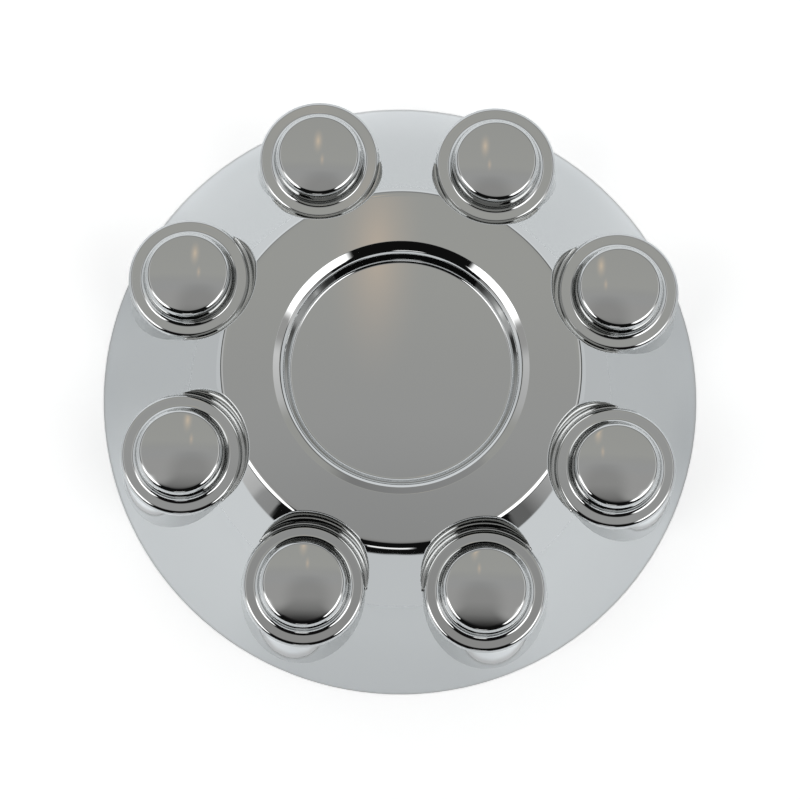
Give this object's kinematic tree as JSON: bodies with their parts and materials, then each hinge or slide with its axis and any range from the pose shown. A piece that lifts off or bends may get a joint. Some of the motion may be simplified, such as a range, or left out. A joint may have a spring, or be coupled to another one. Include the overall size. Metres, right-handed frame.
{
  "type": "wheel center cap",
  "caption": "Bright one-piece centre cap for a truck wheel, with a raised plateau, a shallow bare recess, a rounded flange and a ring of domed stud covers.",
  "frame": {"origin": "centre of the back rim plane", "axes": "+Z along the wheel's axis, out of the face; +Y towards the middle of a gap between two stud covers"},
  "size_m": [0.221, 0.221, 0.0634],
  "materials": {
    "chrome": "bright mirror plate"
  },
  "bodies": {
    "root": {"center_cap": "chrome"}
  },
  "joints": []
}
